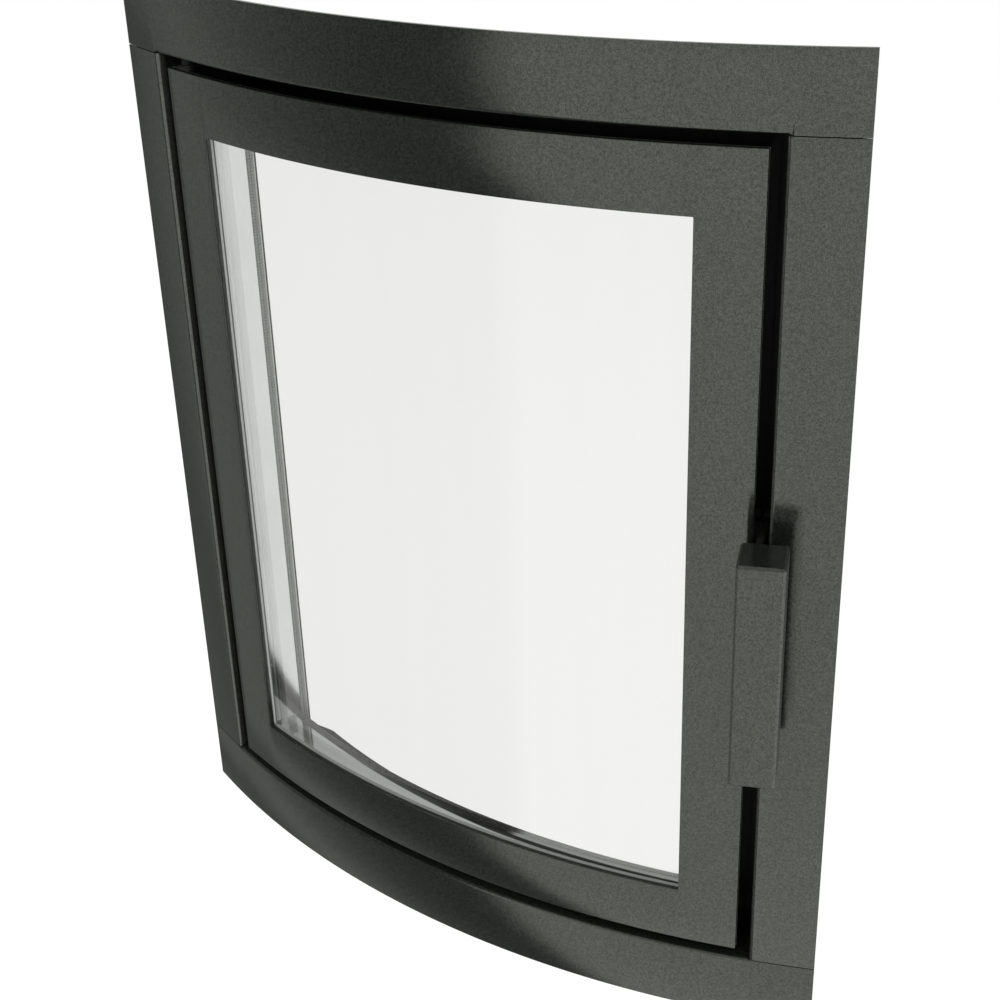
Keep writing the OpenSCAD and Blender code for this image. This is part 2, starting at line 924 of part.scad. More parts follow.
// Upright retaining strip: a flat angle, set in by the curve of the pane behind its foot
module side_retainer(side, edge_a) {
    z0 = door_z0 + channel_w + retainer_fit;
    z1 = door_z1 - channel_w - retainer_fit;
    foot_d = retainer_d0 + pow(retainer_in, 2) / 2 / (front_r - retainer_d0);
    difference() {
        union() {
            side_block(side, edge_a, [-retainer_in, foot_d, z0],
                       [-retainer_out, foot_d + retainer_t, z1]);
            side_block(side, edge_a, [-retainer_out - retainer_t, foot_d, z0],
                       [-retainer_out, retainer_d1, z1]);
        }
        at_angle(side * edge_a)
            for (z = side_screw_z)
                rod_x(side * (-retainer_out - retainer_t - eps),
                      side * (-retainer_out + eps), retainer_screw_d, z,
                      screw_r + run_gap);
    }
}

module retainer_left() {
    color(bright_steel)
    placed()
        side_retainer(-1, door_left_a);
}

module retainer_right() {
    color(bright_steel)
    placed()
        side_retainer(1, door_right_a);
}

// Top or bottom retaining strip: z is its outer face, and up is 1 or -1 for the way
// to the middle
module rail_retainer(z, up, grip) {
    trim = retainer_in + retainer_end_gap;
    a0 = door_left_a - arc_a(trim, retainer_d1);
    a1 = door_right_a - arc_a(trim, retainer_d1);
    arc_plate(-a0, a1, retainer_d0, retainer_d0 + retainer_t, z, z + up * grip);
    arc_plate(-a0, a1, retainer_d0 + retainer_t / 2, retainer_d1, z,
              z + up * retainer_t);
}

module retainer_top() {
    z1 = door_z1 - channel_w - retainer_fit;
    color(bright_steel)
    placed()
    difference() {
        rail_retainer(z1, -1, z1 - pane_z1 + retainer_grip);
        rail_screw_holes(z1 - retainer_t - eps, z1 + eps);
    }
}

module retainer_bottom() {
    z0 = door_z0 + channel_w + retainer_fit;
    color(bright_steel)
    placed()
    difference() {
        rail_retainer(z0, 1, pane_z0 + retainer_grip - z0);
        rail_screw_holes(z0 - eps, z0 + retainer_t + eps);
    }
}

module retainer_screws() {
    seat = retainer_out + retainer_t;
    color(zinc)
    placed() {
        for (s = [[-1, door_left_a], [1, door_right_a]], z = side_screw_z)
            at_angle(s[0] * s[1]) {
                rod_x(s[0] * (retainer_shank[0] - seat), s[0] * (retainer_shank[1] - seat),
                      retainer_screw_d, z, screw_r);
                rod_x(s[0] * (retainer_head[0] - seat), s[0] * (retainer_head[1] - seat),
                      retainer_screw_d, z, screw_head_r);
            }
        for (a = rail_screw_a, end = [[door_z1 - seat, 1], [door_z0 + seat, -1]])
            at_angle(a) {
                rod_z(end[0] + end[1] * retainer_shank[0],
                      end[0] + end[1] * retainer_shank[1], 0, retainer_screw_d, screw_r);
                rod_z(end[0] + end[1] * retainer_head[0],
                      end[0] + end[1] * retainer_head[1], 0, retainer_screw_d,
                      screw_head_r);
            }
    }
}

// ---- Latch: a hooked lever in the side gap that lifts off a keeper roller ----

// Frame at the latch pivot: x sideways, y inward, z up
module at_latch() {
    at_angle(latch_a)
        translate([0, latch_depth, latch_z])
            children();
}

// Height of the stop under the lever's neck, from the pivot
function stop_z() =
    -boss_r - stop_r - stop_clear - (latch_depth - stop_d) * tan(latch_press);

module latch_block() {
    color(zinc)
    placed()
    at_latch()
        difference() {
            block([latch_block_x - latch_block_w, latch_block_d[0] - latch_depth,
                   latch_block_z[0]],
                  [latch_block_x, latch_block_d[1] - latch_depth, latch_block_z[1]]);
            rod_x(latch_block_x - latch_block_w - eps, latch_block_x + eps, 0, 0,
                  stud_thread_r + run_gap);
        }
}

module latch_stud() {
    x1 = lever_t / 2 + 2 * layer_gap + clip_t;
    color(zinc)
    placed()
    at_latch()
        difference() {
            union() {
                rod_x(latch_block_x - latch_block_w + stud_end_gap, 0, 0, 0, stud_thread_r);
                rod_x(-side_room + shoulder_gap, x1 + stud_tip, 0, 0, latch_stud_r);
            }
            difference() {
                rod_x(lever_t / 2 + layer_gap, x1, 0, 0, latch_stud_r + eps);
                rod_x(lever_t / 2, x1 + eps, 0, 0, latch_stud_r - clip_groove);
            }
        }
}

module latch_spacer() {
    color(brass_tone)
    placed()
    at_latch()
        difference() {
            rod_x(-side_room + shoulder_gap, -lever_t / 2 - layer_gap, 0, 0, spacer_r);
            rod_x(-side_room, 0, 0, 0, latch_stud_r + run_gap);
        }
}

// Open retaining clip in the stud's groove
module latch_clip() {
    x0 = lever_t / 2 + 1.5 * layer_gap;
    color(zinc)
    placed()
    at_latch()
        difference() {
            rod_x(x0, x0 + clip_t, 0, 0, clip_r);
            rod_x(x0 - eps, x0 + clip_t + eps, 0, 0, latch_stud_r - clip_groove + run_gap);
            block([x0 - eps, -clip_mouth / 2, 0],
                  [x0 + clip_t + eps, clip_mouth / 2, clip_r + eps]);
        }
}

module lever_stop() {
    color(zinc)
    placed()
    at_latch() {
        rod_x(-side_room - channel_t - stop_end, 0, stop_d - latch_depth, stop_z(),
              stop_shank_r);
        rod_x(-side_room + shoulder_gap, lever_t / 2, stop_d - latch_depth, stop_z(),
              stop_r);
    }
}

// Outline of the lever about its pivot: x is depth, y is height
module lever_outline() {
    foot_d = -latch_depth - handle_standoff + foot_t / 2;
    translate([foot_d, -boss_r])
        square([-foot_d, 2 * boss_r]);
    circle(r = boss_r);
    translate([0, -boss_r])
        square([hook_x0, boss_r + arm_top]);
    polygon([[hook_x0, -boss_r], [hook_x0, hook_up], [hook_x1 - hook_edge, hook_up],
             [hook_x1, hook_up - hook_edge], [hook_x1, hook_chamfer - boss_r],
             [hook_x1 - hook_chamfer, -boss_r]]);
}

module latch_lever() {
    color(charcoal)
    placed()
    difference() {
        union() {
            at_latch()
                translate([-lever_t / 2, 0, 0])
                    rotate([90, 0, 90])
                        linear_extrude(height = lever_t)
                            lever_outline();
            at_handle()
                block([-foot_w / 2, 0, foot_z0], [foot_w / 2, foot_t, foot_z1]);
        }
        at_latch()
            rod_x(-lever_t, lever_t, 0, 0, latch_stud_r + run_gap);
        at_handle_screws()
            rod_y(-foot_t - eps, eps, 0, 0, screw_r + run_gap);
    }
}

// Frame at the middle of the handle bar's back face, level with the pivot
module at_handle() {
    at_latch()
        translate([handle_shift, -latch_depth - handle_standoff, 0])
            rotate([0, 0, handle_turn])
                children();
}

// Screw seats on the back of the lever's foot, beside the neck
module at_handle_screws() {
    for (z = foot_screw_z)
        at_handle()
            translate([foot_w / 4, foot_t, z])
                children();
}

module handle_screws() {
    color(zinc)
    placed()
    at_handle_screws() {
        rod_y(-foot_t - foot_screw_in, layer_gap + eps, 0, 0, screw_r);
        rod_y(layer_gap, screw_head_h + layer_gap, 0, 0, screw_head_r);
    }
}

// Rectangle with bevelled corners, from its two opposite corners
module bevelled(p, q, c) {
    polygon([[p[0] + c, p[1]], [q[0] - c, p[1]], [q[0], p[1] + c], [q[0], q[1] - c],
             [q[0] - c, q[1]], [p[0] + c, q[1]], [p[0], q[1] - c], [p[0], p[1] + c]]);
}

module handle_bar() {
    x1 = handle_w / 2;
    z1 = bar_above;
    z0 = z1 - handle_len;
    color(charcoal)
    placed()
    difference() {
        at_handle()
            intersection() {
                translate([0, 0, z0])
                    linear_extrude(height = handle_len)
                        bevelled([-x1, -handle_d], [x1, 0], handle_bevel);
                translate([-x1, 0, 0])
                    rotate([90, 0, 90])
                        linear_extrude(height = handle_w)
                            bevelled([-handle_d, z0], [0, z1], handle_bevel);
                rotate([90, 0, 0])
                    linear_extrude(height = handle_d)
                        bevelled([-x1, z0], [x1, z1], handle_bevel);
            }
        at_handle_screws()
            rod_y(-foot_t - foot_screw_in - screw_end, eps, 0, 0, screw_r + run_gap);
    }
}

// ---- Keeper: a roller on a pin beside the latch, fixed to the carcass ----

module at_keeper_screws() {
    for (z = [keeper_z[0] + keeper_screw_inset, keeper_z[1] - keeper_screw_inset])
        at_latch()
            translate([keeper_x + keeper_t + keeper_foot_w / 2 + keeper_screw_out,
                       keeper_d1 - latch_depth, z])
                children();
}

module keeper_bracket() {
    y1 = keeper_d1 - latch_depth;
    color(zinc)
    placed()
    difference() {
        at_latch() {
            block([keeper_x, roller_back - keeper_nose, keeper_z[0]],
                  [keeper_x + keeper_t, y1, keeper_z[1]]);
            block([keeper_x, y1 - keeper_t, keeper_z[0]],
                  [keeper_x + keeper_t + keeper_foot_w, y1, keeper_z[1]]);
        }
        at_latch()
            rod_x(keeper_x - eps, keeper_x + keeper_t + eps, roller_back, roller_up,
                  keeper_pin_r + run_gap);
        at_keeper_screws()
            rod_y(-keeper_t - eps, eps, 0, 0, keeper_screw_r + run_gap);
    }
}

module keeper_screws() {
    color(zinc)
    placed()
    at_keeper_screws() {
        rod_y(-keeper_t - layer_gap - eps, land_t + keeper_screw_end, 0, 0,
              keeper_screw_r);
        rod_y(-keeper_t - keeper_screw_head, -keeper_t - layer_gap, 0, 0,
              keeper_screw_head_r);
    }
}

module keeper_pin() {
    x1 = keeper_x + keeper_t + keeper_rivet_h;
    color(zinc)
    placed()
    at_latch() {
        rod_x(keeper_pin_x - keeper_head_t, x1, roller_back, roller_up, keeper_pin_r);
        rod_x(keeper_pin_x - keeper_head_t, keeper_pin_x, roller_back, roller_up,
              keeper_head_r);
        rod_x(keeper_x + keeper_t + layer_gap, x1, roller_back, roller_up,
              keeper_rivet_r);
    }
}

module keeper_roller() {
    x0 = keeper_pin_x + layer_gap;
    color(zinc)
    placed()
    at_latch()
        difference() {
            rod_x(x0, keeper_x - layer_gap, roller_back, roller_up, roller_r);
            rod_x(x0 - eps, keeper_x + eps, roller_back, roller_up,
                  keeper_pin_r + run_gap);
        }
}

surround_top_strip();
surround_bottom_strip();
surround_left_strip();
surround_right_strip();
strip_studs();
strip_nuts();
head_plate();
sill_plate();
jamb_left();
jamb_right();
seal_land_left();
seal_land_right();
seal_land_top();
seal_land_bottom();
hinge_bracket_top();
hinge_bracket_bottom();
hinge_bracket_screws();
hinge_pin_top();
hinge_pin_bottom();
keeper_bracket();
keeper_screws();
keeper_pin();
keeper_roller();
door_face();
door_channel_left();
door_channel_right();
door_channel_top();
door_channel_bottom();
hinge_block_top();
hinge_block_bottom();
hinge_bush_top();
hinge_bush_bottom();
glass_front_tape();
glass_pane();
glass_rear_tape();
retainer_left();
retainer_right();
retainer_top();
retainer_bottom();
retainer_screws();
door_seal_rope();
latch_block();
latch_stud();
latch_spacer();
latch_clip();
lever_stop();
latch_lever();
handle_bar();
handle_screws();
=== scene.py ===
import math
import bmesh
import bpy
from mathutils import Matrix, Vector


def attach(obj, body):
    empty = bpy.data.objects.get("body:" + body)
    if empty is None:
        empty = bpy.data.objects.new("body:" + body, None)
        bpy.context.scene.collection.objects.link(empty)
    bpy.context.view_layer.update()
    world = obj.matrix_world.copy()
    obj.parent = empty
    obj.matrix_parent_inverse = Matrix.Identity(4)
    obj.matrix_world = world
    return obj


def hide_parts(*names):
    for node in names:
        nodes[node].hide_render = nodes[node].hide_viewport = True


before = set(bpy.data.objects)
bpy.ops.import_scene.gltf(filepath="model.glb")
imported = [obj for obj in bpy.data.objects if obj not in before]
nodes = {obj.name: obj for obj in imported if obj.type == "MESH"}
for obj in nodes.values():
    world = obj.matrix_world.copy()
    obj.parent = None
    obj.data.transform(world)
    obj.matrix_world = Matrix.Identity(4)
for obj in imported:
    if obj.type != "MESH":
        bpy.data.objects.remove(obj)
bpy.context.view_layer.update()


# ---- Studio: camera ----
# The camera looks down at the bowed front from the right and above, close enough that the
# surround's upper edge and lower right corner run out of the picture.

TURN = 0.6209
DIP = 0.4661
LEAN = -0.0342
EYE = (0.55078, -0.79124, 0.46270)
LENS = 59.7
FILM_WIDTH = 36
ahead = Vector((-math.sin(TURN) * math.cos(DIP), math.cos(TURN) * math.cos(DIP),
                -math.sin(DIP)))
level = Vector((math.cos(TURN), math.sin(TURN), 0))
upright = level.cross(ahead)
rightward = level * math.cos(LEAN) + upright * math.sin(LEAN)
upward = upright * math.cos(LEAN) - level * math.sin(LEAN)

bpy.ops.object.select_all(action="DESELECT")
bpy.ops.object.camera_add(location=(0, 0, 0))
camera = bpy.context.object
camera.name = "studio_camera"
camera.data.lens = LENS
camera.data.sensor_width = FILM_WIDTH
camera.data.clip_start = 0.02
stand = Matrix((rightward, upward, -ahead)).transposed().to_4x4()
stand.translation = Vector(EYE)
camera.matrix_world = stand
bpy.context.scene.camera = camera
bpy.context.scene.view_settings.view_transform = "Standard"


# ---- Studio: shader sums and the light all round ----
# The room is white to the eye and through the glass.  What the gloss mirrors is a bright wall
# at the front right, a dark doorway at the front left, and a dimmer wall further round.

class Shade:
    """A shader socket that takes part in plain sums."""

    def __init__(self, tree, socket=None):
        self.tree = tree
        self.socket = socket

    def make(self, kind, settings=(), inputs=(), out=0):
        made = self.tree.nodes.new(kind)
        for key, value in dict(settings).items():
            if key == "stops":
                band = made.color_ramp.elements
                band.remove(band[1])
                band[0].position, band[0].color = value[0]
                for place, colour in value[1:]:
                    band.new(place).color = colour
            else:
                setattr(made, key, value)
        for key, value in dict(inputs).items():
            if isinstance(value, Shade):
                self.tree.links.new(value.socket, made.inputs[key])
            else:
                made.inputs[key].default_value = value
        return Shade(self.tree, made.outputs[out])

    def on_object(self):
        return self.make("ShaderNodeTexCoord", (), (), "Object")

    def mapped(self, how, value):
        return self.make("ShaderNodeMapping", {"vector_type": "POINT"},
                         {"Vector": self, how: value})

    def noise(self, scale, detail):
        return self.make("ShaderNodeTexNoise", (), {"Vector": self, "Scale": scale,
                                                    "Detail": detail})

    def bump(self, strength, distance):
        return self.make("ShaderNodeBump", (), {"Strength": strength, "Distance": distance,
                                                "Height": self})

    def maths(self, operation, *others):
        return self.make("ShaderNodeMath", {"operation": operation},
                         enumerate((self,) + others))

    def part(self, axis):
        return self.make("ShaderNodeSeparateXYZ", (), {0: self}, axis)

    def level_length(self):
        flat = self.make("ShaderNodeCombineXYZ", (), {0: self.part(0), 1: self.part(1)})
        return self.make("ShaderNodeVectorMath", {"operation": "LENGTH"}, {0: flat}, 1)

    def clamped(self, low, high):
        return self.make("ShaderNodeClamp", (), {0: self, 1: low, 2: high})

    def toned(self, *stops):
        greys = [(place, (tone, tone, tone, 1)) for place, tone in stops]
        return self.make("ShaderNodeValToRGB", {"stops": greys}, {0: self})

    def tinted(self, low, high):
        return self.make("ShaderNodeMix", {"data_type": "RGBA"}, {0: self, 6: low, 7: high}, 2)

    def __add__(self, other):
        return self.maths("ADD", other)

    def __radd__(self, other):
        return self.maths("ADD", other)

    def __sub__(self, other):
        return self.maths("SUBTRACT", other)

    def __rsub__(self, other):
        return self.make("ShaderNodeMath", {"operation": "SUBTRACT"}, {0: other, 1: self})

    def __mul__(self, other):
        return self.maths("MULTIPLY", other)

    def __rmul__(self, other):
        return self.maths("MULTIPLY", other)

    def __truediv__(self, other):
        return self.maths("DIVIDE", other)


AMBIENT = 0.75
bpy.ops.world.new()
room = bpy.data.worlds[-1]
room.name = "studio_room"
bpy.context.scene.world = room
room.use_nodes = True
room.node_tree.nodes.clear()
air = Shade(room.node_tree)
gaze = air.make("ShaderNodeTexCoord", (), (), 0)
bearing = gaze.part(1).maths("ARCTAN2", gaze.part(0)) / (2 * math.pi) + 0.5
walls = bearing.toned((0.0, 0.15), (0.021, 0.33), (0.038, 0.42), (0.073, 0.29), (0.1, 0.2),
                      (0.128, 0.13), (0.155, 0.1), (0.176, 0.1), (0.187, 0.86), (0.34, 0.9),
                      (0.42, 0.8), (0.5, 1.0), (0.88, 1.0), (0.94, 0.17), (1.0, 0.15))
folds = air.make("ShaderNodeTexNoise", {"noise_dimensions": "1D"},
                 {"W": bearing, "Scale": 90.0, "Detail": 2.0})
overhead = gaze.part(2).toned((0.1, 1.0), (0.5, 0.55))
mirrored = walls * (0.85 + 0.3 * folds) * overhead
rays = {kind: air.make("ShaderNodeLightPath", (), (), kind)
        for kind in ("Is Camera Ray", "Is Transmission Ray", "Is Glossy Ray")}
seen = rays["Is Camera Ray"].maths("MAXIMUM", rays["Is Transmission Ray"])
gloss = rays["Is Glossy Ray"] * (1 - rays["Is Transmission Ray"])
strength = seen + (1 - seen) * (gloss * mirrored + (1 - gloss) * AMBIENT)
glow = air.make("ShaderNodeBackground", (), {"Color": (1, 1, 1, 1), "Strength": strength})
room_out = room.node_tree.nodes.new("ShaderNodeOutputWorld")
room.node_tree.links.new(glow.socket, room_out.inputs["Surface"])


# ---- Studio: floor and lamps ----
# A pale floor well below the piece, which hangs by its rear flanges as it would in a wall, and
# two large soft lamps.  They light the piece but don't show in its gloss.

FLOOR_Z = -0.75
FLOOR_GLOW = 0.69


def new_finish(name):
    made = bpy.data.materials.new(name)
    made.use_nodes = True
    made.node_tree.nodes.clear()
    return made, Shade(made.node_tree)


def surface(material, shader):
    end = material.node_tree.nodes.new("ShaderNodeOutputMaterial")
    material.node_tree.links.new(shader.socket, end.inputs["Surface"])


bpy.ops.object.select_all(action="DESELECT")
bpy.ops.mesh.primitive_plane_add(size=16, location=(0, 0, FLOOR_Z))
floor = bpy.context.object
floor.name = "studio_floor"
bpy.ops.object.transform_apply(location=True, rotation=True, scale=True)
floor.visible_glossy = False
pale, mix = new_finish("pale_floor")
looks = [mix.make("ShaderNodeLightPath", (), (), kind)
         for kind in ("Is Camera Ray", "Is Transmission Ray")]
surface(pale, mix.make("ShaderNodeBsdfPrincipled", (), {
    "Base Color": (0.4, 0.4, 0.4, 1), "Roughness": 0.9, "Specular IOR Level": 0.0,
    "Emission Color": (1, 1, 1, 1),
    "Emission Strength": FLOOR_GLOW * looks[0].maths("MAXIMUM", looks[1])}))
floor.data.materials.append(pale)

for spot, width, watts in (((-1.6, -2.3, 2.1), 1.8, 30), ((1.9, 1.7, 1.6), 1.6, 14)):
    bpy.ops.object.light_add(type="AREA", location=spot)
    lamp = bpy.context.object
    lamp.name = "soft_lamp"
    lamp.data.size = width
    lamp.data.energy = watts
    lamp.rotation_euler = (-Vector(spot)).to_track_quat("-Z", "Y").to_euler()
    lamp.visible_glossy = False


# ---- Surround strips ----
# Four strips of 2.5 mm steel sheet rolled to the front's curve, with a return folded back
# round the door's window.  Painted in anthracite with a fine metal flake, half gloss.

AXIS_Y = 0.558
FRONT_R = 0.663


def off_axis(place):
    return place.mapped("Location", (0, -AXIS_Y, 0))


def behind_front(place):
    return FRONT_R - off_axis(place).level_length()


def stove_paint(name, lit_folds=False, shaded_window_edge=False):
    made, mix = new_finish(name)
    place = mix.on_object()
    flake = place.noise(1900.0, 1.5)
    mist = place.noise(600.0, 2.0)
    cloud = place.noise(9.0, 3.0)
    grain = (flake * 0.7 + mist * 0.3).toned((0.40, 0.0), (0.60, 1.0))
    colour = grain.tinted((0.012, 0.014, 0.012, 1), (0.024, 0.027, 0.023, 1))
    # The fold and the first few millimetres of the return are painted lighter: a painted
    # highlight for light caught in the gap round the door.
    if lit_folds:
        dust_and_fold_light = (behind_front(place) * 100).toned((0.005, 0.0), (0.05, 0.3), (0.25, 0.6),
                                                 (0.45, 0.4), (0.62, 0.0))
        colour = dust_and_fold_light.tinted(colour, (0.11, 0.114, 0.106, 1))
    paint = mix.make("ShaderNodeBsdfPrincipled", (), {
        "Base Color": colour, "Metallic": 0.50 * (1 - grain),
        "Roughness": 0.12 + 0.03 * grain + 0.03 * cloud,
        "IOR": 2.1, "Specular Tint": (0.94, 1.0, 0.87, 1),
        "Normal": (flake + mist).bump(0.10, 0.0002)})
    # The window's cut edge mixes to a rougher paint with a darker base: a dull cut edge, and
    # painted shade.
    if shaded_window_edge:
        dull_shaded_edge = mix.make("ShaderNodeBsdfPrincipled", (), {
            "Base Color": grain.tinted((0.010, 0.011, 0.010, 1), (0.016, 0.017, 0.015, 1)),
            "Roughness": 0.7, "Specular IOR Level": 0.3})
        paint = mix.make("ShaderNodeMixShader", (), {0: window_edge_shade(place), 1: paint,
                                                     2: dull_shaded_edge})
    surface(made, paint)
    return made


def window_edge_shade(place):
    """Painted shade on the door plate's cut edge round the glass, in full low down and half
    above.
    """
    reach_x, reach_z, shade_half_z = 0.182, 0.220, -0.165
    cut = (behind_front(place) * 100).toned((0.03, 0.0), (0.07, 1.0))
    near_x = (100 * reach_x - 100 * place.part(0).maths("ABSOLUTE")).clamped(0.0, 1.0)
    near_z = (100 * reach_z - 100 * place.part(2).maths("ABSOLUTE")).clamped(0.0, 1.0)
    painted_shade_weight = ((place.part(2) - shade_half_z) * -30).clamped(0.5, 1.0)
    return cut * near_x * near_z * painted_shade_weight


charcoal = stove_paint("charcoal_paint")
side_charcoal = stove_paint("charcoal_paint_sides", lit_folds=True)
door_charcoal = stove_paint("charcoal_paint_door", shaded_window_edge=True)

SMOOTH_BELOW = math.radians(28)
BREAK_ABOVE = math.radians(50)


def rolled(name, a0, a1, z0, z1, depth=0.0, columns=720, turned=0.0):
    bpy.ops.object.select_all(action="DESELECT")
    bpy.ops.mesh.primitive_cylinder_add(vertices=columns, radius=FRONT_R - depth,
                                        depth=z1 - z0, end_fill_type="NOTHING",
                                        location=(0, AXIS_Y, (z0 + z1) / 2),
                                        rotation=(0, 0, math.radians(turned)))
    sheet = bpy.context.object
    sheet.name = name
    bpy.ops.object.transform_apply(location=True, rotation=True, scale=True)
    slit(angle=a0, clear_inner=True)
    slit(angle=a1, clear_outer=True)
    return sheet


def slit(angle=0.0, z=None, **drop):
    a = math.radians(angle)
    bpy.ops.object.mode_set(mode="EDIT")
    bpy.ops.mesh.select_all(action="SELECT")
    if z is None:
        bpy.ops.mesh.bisect(plane_co=(0, AXIS_Y, 0), plane_no=(math.cos(a), math.sin(a), 0),
                            **drop)
    else:
        bpy.ops.mesh.bisect(plane_co=(0, 0, z), plane_no=(0, 0, 1), **drop)
    bpy.ops.object.mode_set(mode="OBJECT")


def turn_of(point):
    return math.degrees(math.atan2(point.x, AXIS_Y - point.y))


def depth_of(point):
    return FRONT_R - math.hypot(point.x, AXIS_Y - point.y)


def pick_edges(sheet, wanted):
    bpy.ops.object.mode_set(mode="EDIT")
    bpy.ops.mesh.select_mode(type="EDGE")
    bpy.ops.mesh.select_all(action="DESELECT")
    shape = bmesh.from_edit_mesh(sheet.data)
    for edge in shape.edges:
        if all(wanted(corner.co) for corner in edge.verts):
            edge.select_set(True)
    bmesh.update_edit_mesh(sheet.data)


def thicken(sheet, thickness, edge, rounds=2):
    bpy.ops.object.mode_set(mode="OBJECT")
    wall = sheet.modifiers.new("wall", "SOLIDIFY")
    wall.thickness = thickness
    wall.offset = -1
    wall.use_even_offset = True
    bpy.ops.object.modifier_apply(modifier=wall.name)
    ease = sheet.modifiers.new("ease", "BEVEL")
    ease.width = edge
    ease.segments = rounds
    ease.limit_method = "ANGLE"
    ease.angle_limit = BREAK_ABOVE
    bpy.ops.object.modifier_apply(modifier=ease.name)
    bpy.ops.object.shade_smooth_by_angle(angle=SMOOTH_BELOW)


SURROUND_A = 22.0593
WINDOW_A = 18.6027
RETURN_LEAN = 0.2161
HALF_HEIGHT = 0.300
WINDOW_TOP, WINDOW_BOTTOM = 0.258, -0.255
SIDE_TOP, SIDE_BOTTOM = 0.2574, -0.2544
FOLD = 0.0025
FOLD_STEPS = 5
RETURN = 0.022
SHEET_EDGE = 0.0003
TINY_Z, TINY_TURN, TINY_DEPTH = 1e-5, 1e-3, 1e-4

for name, node, edge_z, far_z in (
        ("top_strip_sheet", "surround_top_strip", WINDOW_TOP, HALF_HEIGHT),
        ("bottom_strip_sheet", "surround_bottom_strip", WINDOW_BOTTOM, -HALF_HEIGHT)):
    strip = rolled(name, -SURROUND_A, SURROUND_A, min(edge_z, far_z), max(edge_z, far_z))
    slit(angle=-WINDOW_A)
    slit(angle=WINDOW_A)
    pick_edges(strip, lambda p: abs(p.z - edge_z) < TINY_Z
               and abs(turn_of(p)) < WINDOW_A + TINY_TURN)
    bpy.ops.mesh.extrude_region_move()
    drawn_in = (FRONT_R - RETURN) / FRONT_R
    bpy.ops.transform.resize(value=(drawn_in, drawn_in, 1), center_override=(0, AXIS_Y, 0))
    pick_edges(strip, lambda p: abs(p.z - edge_z) < TINY_Z
               and abs(turn_of(p)) < WINDOW_A + TINY_TURN and depth_of(p) < TINY_DEPTH)
    bpy.ops.mesh.bevel(offset=FOLD, segments=FOLD_STEPS, affect="EDGES")
    thicken(strip, FOLD, SHEET_EDGE)
    strip.data.materials.append(charcoal)
    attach(strip, "surround")
    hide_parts(node)

for name, node, side in (("left_strip_sheet", "surround_left_strip", -1),
                         ("right_strip_sheet", "surround_right_strip", 1)):
    angles = sorted((side * WINDOW_A, side * SURROUND_A))
    strip = rolled(name, angles[0], angles[1], SIDE_BOTTOM, SIDE_TOP)
    pick_edges(strip, lambda p: abs(turn_of(p) - side * WINDOW_A) < TINY_TURN)
    bend = math.radians(WINDOW_A + RETURN_LEAN)
    bpy.ops.mesh.extrude_region_move()
    bpy.ops.transform.translate(value=(-side * math.sin(bend) * RETURN,
                                       math.cos(bend) * RETURN, 0))
    pick_edges(strip, lambda p: abs(turn_of(p) - side * WINDOW_A) < TINY_TURN
               and depth_of(p) < TINY_DEPTH)
    bpy.ops.mesh.bevel(offset=FOLD, segments=FOLD_STEPS, affect="EDGES")
    thicken(strip, FOLD, SHEET_EDGE)
    # The side strips take the copy of the paint with the painted highlight on their folds.
    strip.data.materials.append(side_charcoal)
    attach(strip, "surround")
    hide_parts(node)


# ---- Strip fixings ----
# Studs welded to the backs of the strips go through the carcass's front flanges, and six-sided
# nuts behind those flanges hold the strips on.  Zinc plated steel.

zinc, mix = new_finish("zinc_steel")
place = mix.on_object()
spangle = mix.make("ShaderNodeTexVoronoi", (), {"Vector": place, "Scale": 260.0})
smear = place.noise(60.0, 4.0)
surface(zinc, mix.make("ShaderNodeBsdfPrincipled", (), {
    "Base Color": smear.tinted((0.50, 0.51, 0.52, 1), (0.66, 0.67, 0.68, 1)),
    "Metallic": 1.0, "Roughness": 0.30 + 0.15 * smear + 0.05 * spangle}))


def coat(material, *names):
    for name in names:
        for slot in nodes[name].material_slots:
            slot.material = material


coat(zinc, "strip_studs", "strip_nuts")


# ---- Carcass ----
# Head plate, sill plate and two jambs of folded sheet with flat rear flanges, and the four
# plates that the rope seal closes against.  Black heat-proof paint, nearly matt.

black, mix = new_finish("black_sheet")
place = mix.on_object()
orange_peel = place.noise(420.0, 2.0)
dust_and_fold_light = place.noise(12.0, 5.0)
surface(black, mix.make("ShaderNodeBsdfPrincipled", (), {
    "Base Color": dust_and_fold_light.tinted((0.007, 0.007, 0.007, 1), (0.018, 0.018, 0.017, 1)),
    "Roughness": 0.48 + 0.15 * orange_peel, "Specular IOR Level": 0.35,
    "Normal": orange_peel.bump(0.15, 0.0002)}))
coat(black, "head_plate", "sill_plate", "jamb_left", "jamb_right", "seal_land_left",
     "seal_land_right", "seal_land_top", "seal_land_bottom")


# ---- Hinge ----
# Two angle brackets screwed to the left jamb hold the pins, of blackened steel.  Blocks in the
# door's corners turn on them in flanged bushes of dark oiled brass.

brass, mix = new_finish("bush_brass")
tarnish = mix.on_object().noise(150.0, 4.0)
surface(brass, mix.make("ShaderNodeBsdfPrincipled", (), {
    "Base Color": tarnish.tinted((0.045, 0.042, 0.036, 1), (0.085, 0.078, 0.066, 1)),
    "Metallic": 0.8, "Roughness": 0.45 + 0.2 * tarnish}))

oxide, mix = new_finish("black_oxide")
handled = mix.on_object().noise(90.0, 4.0)
surface(oxide, mix.make("ShaderNodeBsdfPrincipled", (), {
    "Base Color": handled.tinted((0.012, 0.012, 0.013, 1), (0.03, 0.03, 0.032, 1)),
    "Specular IOR Level": 0.25, "Roughness": 0.5 + 0.2 * handled}))
coat(zinc, "hinge_bracket_top", "hinge_bracket_bottom", "hinge_bracket_screws",
     "hinge_block_top", "hinge_block_bottom")
coat(brass, "hinge_bush_top", "hinge_bush_bottom")
coat(oxide, "hinge_pin_top", "hinge_pin_bottom")


# ---- Keeper ----
# An angle bracket on the right seal plate carries a turning roller, which the latch's hook
# draws down on.

coat(zinc, "keeper_bracket", "keeper_screws")
coat(oxide, "keeper_pin", "keeper_roller")
